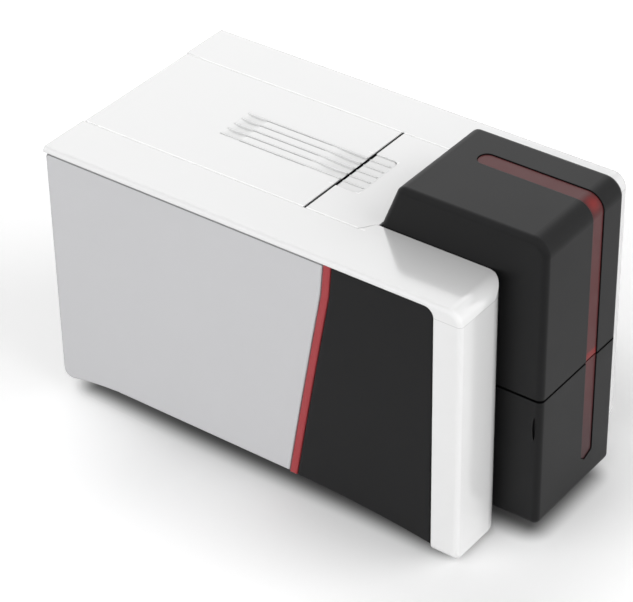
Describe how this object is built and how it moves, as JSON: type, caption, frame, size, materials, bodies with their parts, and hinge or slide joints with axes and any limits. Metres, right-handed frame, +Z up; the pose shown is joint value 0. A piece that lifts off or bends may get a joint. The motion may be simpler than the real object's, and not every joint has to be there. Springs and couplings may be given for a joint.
{
  "type": "card printer",
  "caption": "Desktop card printer with a tall front card hopper, a hinged top cover, a side-hinged card bin door and a smoky window strip.",
  "frame": {"origin": "centre of the whole object's outline, on the surface it stands on", "axes": "+Z up, -Y towards the front with the card hopper, +X to the right of a person facing the front"},
  "size_m": [0.205, 0.381, 0.247],
  "materials": {
    "white_casing": "satin moulded white plastic",
    "black_side": "fine grained black plastic",
    "red_stripe": "moulded dull red plastic",
    "grey_panel": "painted light grey plastic",
    "black_gloss": "black plastic with a soft gloss",
    "smoky_red_window": "smoky red clear plastic",
    "steel_sheet": "zinc plated steel sheet",
    "steel_pin": "turned steel",
    "foot_rubber": "matt black rubber",
    "roller_rubber": "ground dark rubber sleeve on a steel shaft",
    "cleaning_rubber": "tacky blue rubber sleeve",
    "bush_plastic": "natural acetal",
    "belt_rubber": "matt belt rubber",
    "motor_metal": "dark plated steel can",
    "tray_plastic": "dark grey moulded plastic",
    "weight_metal": "blackened casting",
    "gear_plastic": "white acetal",
    "spool_plastic": "dark moulded plastic",
    "ribbon_film": "thin coated film",
    "head_aluminium": "milled aluminium",
    "rear_plastic": "grained black plastic",
    "socket_plastic": "plain black plastic",
    "board_green": "green lacquered laminate",
    "board_brass": "turned brass",
    "board_chips": "black moulded epoxy"
  },
  "bodies": {
    "casing": {"left_shell": "white_casing", "right_shell": "white_casing", "front_deck": "white_casing", "left_black_panel": "black_side", "right_black_panel": "black_side", "left_red_stripe": "red_stripe", "right_red_stripe": "red_stripe", "left_grey_panel": "grey_panel", "right_grey_panel": "grey_panel", "base_pan": "steel_sheet", "left_chassis_plate": "steel_sheet", "right_chassis_plate": "steel_sheet", "card_bed": "steel_sheet", "exit_chute": "steel_sheet", "hopper_brackets": "steel_sheet", "latch_bar": "steel_sheet", "door_pins": "steel_pin", "rubber_feet": "foot_rubber", "roller_bushes": "bush_plastic", "drive_belt": "belt_rubber", "drive_motor": "motor_metal", "ribbon_motor": "motor_metal", "card_magazine": "tray_plastic", "output_bin": "tray_plastic", "ribbon_cassette": "spool_plastic", "ribbon_web": "ribbon_film", "rear_panel": "rear_plastic", "switch_frame": "rear_plastic", "usb_port": "socket_plastic", "network_port": "socket_plastic", "power_inlet": "socket_plastic", "circuit_board": "board_green", "board_posts": "board_brass", "board_parts": "board_chips"},
    "hopper_lid": {"hopper_shell": "black_gloss", "hopper_window": "smoky_red_window"},
    "swing_door": {"output_door": "black_gloss", "door_window": "smoky_red_window"},
    "lid": {"top_cover": "white_casing", "cover_hook": "bush_plastic", "head_bracket": "steel_sheet", "print_head": "head_aluminium", "cover_hinge_pins": "steel_pin"},
    "button": {"release_button": "white_casing"},
    "weight": {"card_weight": "weight_metal"},
    "rocker": {"power_rocker": "rear_plastic"},
    "motor_drive": {"motor_pulley": "steel_pin"},
    "pickup": {"pickup_roller": "roller_rubber"},
    "feed": {"feed_roller": "roller_rubber"},
    "transport": {"transport_roller": "roller_rubber"},
    "platen": {"platen_roller": "roller_rubber"},
    "exit_drive": {"exit_roller": "roller_rubber"},
    "cleaner": {"cleaning_roller": "cleaning_rubber"},
    "front_pinch": {"front_pinch_roller": "roller_rubber"},
    "rear_pinch": {"rear_pinch_roller": "roller_rubber"},
    "pinion": {"ribbon_pinion": "gear_plastic"},
    "takeup": {"takeup_spool_core": "gear_plastic", "takeup_spool_roll": "ribbon_film"},
    "supply": {"supply_spool_core": "spool_plastic", "supply_spool_roll": "ribbon_film"}
  },
  "joints": [
    {"name": "cover_hinge", "type": "hinge", "parent": "casing", "child": "lid", "pos_m": [0, 0.1835, 0.2048], "axis": [-1, 0, 0], "range_deg": [0, 75]},
    {"name": "hopper_hinge", "type": "hinge", "parent": "casing", "child": "hopper_lid", "pos_m": [0, -0.072, 0.2148], "axis": [-1, 0, 0], "range_deg": [0, 60]},
    {"name": "door_hinge", "type": "hinge", "parent": "casing", "child": "swing_door", "pos_m": [0.042, -0.1694, 0.06], "axis": [0, 0, 1], "range_deg": [0, 90]},
    {"name": "release_press", "type": "slide", "parent": "casing", "child": "button", "axis": [0, 0, 1], "range_m": [-0.0025, 0], "stiffness_N_per_m": 600, "springref_m": 0.0015},
    {"name": "weight_lift", "type": "slide", "parent": "casing", "child": "weight", "axis": [0, 0, 1], "range_m": [0, 0.085]},
    {"name": "rocker_tilt", "type": "hinge", "parent": "casing", "child": "rocker", "pos_m": [0.066, 0.1855, 0.05], "axis": [1, 0, 0], "range_deg": [-12, 0]},
    {"name": "motor_spin", "type": "hinge", "parent": "casing", "child": "motor_drive", "pos_m": [0.05, 0.06, 0.062], "axis": [1, 0, 0], "continuous": true},
    {"name": "pickup_spin", "type": "hinge", "parent": "casing", "child": "pickup", "pos_m": [0, -0.125, 0.1166], "axis": [1, 0, 0], "continuous": true},
    {"name": "feed_spin", "type": "hinge", "parent": "casing", "child": "feed", "pos_m": [0, -0.082, 0.1186], "axis": [1, 0, 0], "continuous": true},
    {"name": "transport_spin", "type": "hinge", "parent": "casing", "child": "transport", "pos_m": [0, -0.032, 0.1186], "axis": [1, 0, 0], "continuous": true},
    {"name": "platen_spin", "type": "hinge", "parent": "casing", "child": "platen", "pos_m": [0, 0.06, 0.1176], "axis": [1, 0, 0], "continuous": true},
    {"name": "exit_spin", "type": "hinge", "parent": "casing", "child": "exit_drive", "pos_m": [0, 0.148, 0.1186], "axis": [1, 0, 0], "continuous": true},
    {"name": "cleaner_spin", "type": "hinge", "parent": "casing", "child": "cleaner", "pos_m": [0, -0.082, 0.1354], "axis": [1, 0, 0], "continuous": true},
    {"name": "front_pinch_spin", "type": "hinge", "parent": "casing", "child": "front_pinch", "pos_m": [0, -0.032, 0.1334], "axis": [1, 0, 0], "continuous": true},
    {"name": "rear_pinch_spin", "type": "hinge", "parent": "casing", "child": "rear_pinch", "pos_m": [0, 0.148, 0.1334], "axis": [1, 0, 0], "continuous": true},
    {"name": "takeup_spin", "type": "hinge", "parent": "casing", "child": "takeup", "pos_m": [0, 0.018, 0.15], "axis": [1, 0, 0], "continuous": true},
    {"name": "pinion_spin", "type": "hinge", "parent": "casing", "child": "pinion", "pos_m": [-0.045, -0.00117, 0.14106], "axis": [1, 0, 0], "continuous": true},
    {"name": "supply_spin", "type": "hinge", "parent": "casing", "child": "supply", "pos_m": [0, 0.102, 0.15], "axis": [1, 0, 0], "continuous": true}
  ],
  "couplings": [
    {"joint": "pickup_spin", "follows": "motor_spin", "ratio": 0.55556},
    {"joint": "feed_spin", "follows": "motor_spin", "ratio": 0.68182},
    {"joint": "transport_spin", "follows": "motor_spin", "ratio": 0.68182},
    {"joint": "exit_spin", "follows": "motor_spin", "ratio": 0.68182},
    {"joint": "platen_spin", "follows": "motor_spin", "ratio": 0.61225},
    {"joint": "cleaner_spin", "follows": "motor_spin", "ratio": -0.68182},
    {"joint": "front_pinch_spin", "follows": "motor_spin", "ratio": -0.90909},
    {"joint": "rear_pinch_spin", "follows": "motor_spin", "ratio": -0.90909},
    {"joint": "pinion_spin", "follows": "takeup_spin", "ratio": -2.5},
    {"joint": "supply_spin", "follows": "takeup_spin", "ratio": 0.6}
  ]
}
